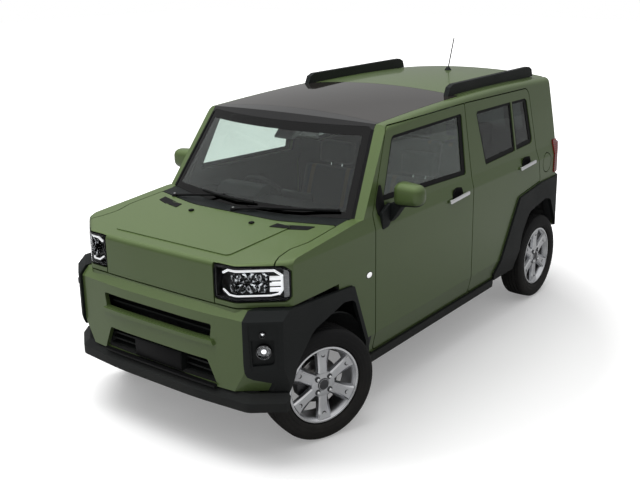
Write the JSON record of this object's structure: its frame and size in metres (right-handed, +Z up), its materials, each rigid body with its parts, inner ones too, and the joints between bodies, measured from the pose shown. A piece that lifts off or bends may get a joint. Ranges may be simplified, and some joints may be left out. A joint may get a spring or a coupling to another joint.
{
  "type": "kei car",
  "caption": "Small tall wagon with a flat bonnet, black arch claddings, side doors, tailgate and steered front wheels.",
  "frame": {"origin": "on the ground, under the middle of the car", "axes": "the front faces -Y, the car's left side is +X, +Z is up"},
  "size_m": [1.824, 3.392, 1.8163],
  "materials": {
    "paint": "satin green metallic",
    "trim": "grained black plastic",
    "pane": "dark tinted glass",
    "roof_pane": "dark tinted glass",
    "lamp": "clear lamp cover",
    "red_lamp": "red lamp cover",
    "rim": "machined and lacquered",
    "tyre": "moulded rubber",
    "cloth": "woven seat cloth",
    "dash": "soft grained plastic",
    "steel": "black coated steel",
    "floor": "underbody coating",
    "engine": "cast"
  },
  "bodies": {
    "root": {"floor_pan": "floor", "body_side_left": "paint", "body_side_right": "paint", "roof_panel": "paint", "roof_glass": "roof_pane", "roof_header": "trim", "windscreen": "pane", "cowl_panel": "trim", "wing_left": "paint", "wing_right": "paint", "front_bumper": "paint", "lower_guard": "trim", "grille": "trim", "headlamps": "lamp", "fog_lamps": "lamp", "arch_trims_front": "trim", "arch_trims_rear": "trim", "sill_trims": "trim", "rear_bumper": "paint", "tail_lamps": "red_lamp", "roof_rails": "trim", "antenna": "trim", "front_seats": "cloth", "rear_seat": "cloth", "dashboard": "dash", "engine_block": "engine", "front_subframe": "steel", "rear_axle": "steel", "exhaust": "steel", "fuel_tank": "steel", "radiator_panel": "trim", "arch_liners_front": "trim", "arch_liners_rear": "trim"},
    "door_front_left": {"door_front_left": "paint", "door_glass_front_left": "pane", "mirror_left": "paint"},
    "door_rear_left": {"door_rear_left": "paint", "door_glass_rear_left": "pane"},
    "knuckle_left": {"knuckle_left": "steel"},
    "wheel_front_left": {"tyre_front_left": "tyre", "rim_front_left": "rim"},
    "wheel_rear_left": {"tyre_rear_left": "tyre", "rim_rear_left": "rim"},
    "door_front_right": {"door_front_right": "paint", "door_glass_front_right": "pane", "mirror_right": "paint"},
    "door_rear_right": {"door_rear_right": "paint", "door_glass_rear_right": "pane"},
    "knuckle_right": {"knuckle_right": "steel"},
    "wheel_front_right": {"tyre_front_right": "tyre", "rim_front_right": "rim"},
    "wheel_rear_right": {"tyre_rear_right": "tyre", "rim_rear_right": "rim"},
    "bonnet": {"bonnet": "paint"},
    "tailgate": {"tailgate": "paint", "tailgate_glass": "pane"},
    "fuel_lid": {"fuel_lid": "paint"},
    "steering_wheel": {"steering_wheel": "dash"}
  },
  "joints": [
    {"name": "door_front_left_hinge", "type": "hinge", "parent": "root", "child": "door_front_left", "pos_m": [0.727, -0.766, 0.7], "axis": [0, 0, -1], "range_deg": [0, 65]},
    {"name": "door_rear_left_hinge", "type": "hinge", "parent": "root", "child": "door_rear_left", "pos_m": [0.727, 0.311, 0.7], "axis": [0, 0, -1], "range_deg": [0, 70]},
    {"name": "door_front_right_hinge", "type": "hinge", "parent": "root", "child": "door_front_right", "pos_m": [-0.727, -0.766, 0.7], "axis": [0, 0, 1], "range_deg": [0, 65]},
    {"name": "door_rear_right_hinge", "type": "hinge", "parent": "root", "child": "door_rear_right", "pos_m": [-0.727, 0.311, 0.7], "axis": [0, 0, 1], "range_deg": [0, 70]},
    {"name": "bonnet_hinge", "type": "hinge", "parent": "root", "child": "bonnet", "pos_m": [0, -0.985, 1.085], "axis": [-1, 0, 0], "range_deg": [0, 52]},
    {"name": "tailgate_hinge", "type": "hinge", "parent": "root", "child": "tailgate", "pos_m": [0, 1.585, 1.592], "axis": [1, 0, 0], "range_deg": [0, 82]},
    {"name": "fuel_lid_hinge", "type": "hinge", "parent": "root", "child": "fuel_lid", "pos_m": [0.727, 1.335, 0.967], "axis": [0, 0, -1], "range_deg": [0, 100]},
    {"name": "steer_left", "type": "hinge", "parent": "root", "child": "knuckle_left", "pos_m": [0.574, -1.163, 0.298], "axis": [0, 0, 1], "range_deg": [-15, 57]},
    {"name": "steer_right", "type": "hinge", "parent": "root", "child": "knuckle_right", "pos_m": [-0.574, -1.163, 0.298], "axis": [0, 0, 1], "range_deg": [-15, 57]},
    {"name": "steering_wheel_turn", "type": "hinge", "parent": "root", "child": "steering_wheel", "pos_m": [-0.34, -0.395, 0.94], "axis": [0, 0.8412, 0.5408], "range_deg": [-235, 865]},
    {"name": "roll_front_left", "type": "hinge", "parent": "knuckle_left", "child": "wheel_front_left", "pos_m": [0.64495, -1.19024, 0.298], "axis": [0.9336, -0.3584, 0], "continuous": true},
    {"name": "roll_rear_left", "type": "hinge", "parent": "root", "child": "wheel_rear_left", "pos_m": [0.65, 1.297, 0.298], "axis": [1, 0, 0], "continuous": true},
    {"name": "roll_front_right", "type": "hinge", "parent": "knuckle_right", "child": "wheel_front_right", "pos_m": [-0.64495, -1.13576, 0.298], "axis": [0.9336, -0.3584, 0], "continuous": true},
    {"name": "roll_rear_right", "type": "hinge", "parent": "root", "child": "wheel_rear_right", "pos_m": [-0.65, 1.297, 0.298], "axis": [1, 0, 0], "continuous": true}
  ],
  "couplings": [
    {"joint": "steer_right", "follows": "steer_left", "ratio": 1},
    {"joint": "steering_wheel_turn", "follows": "steer_left", "ratio": 15}
  ]
}
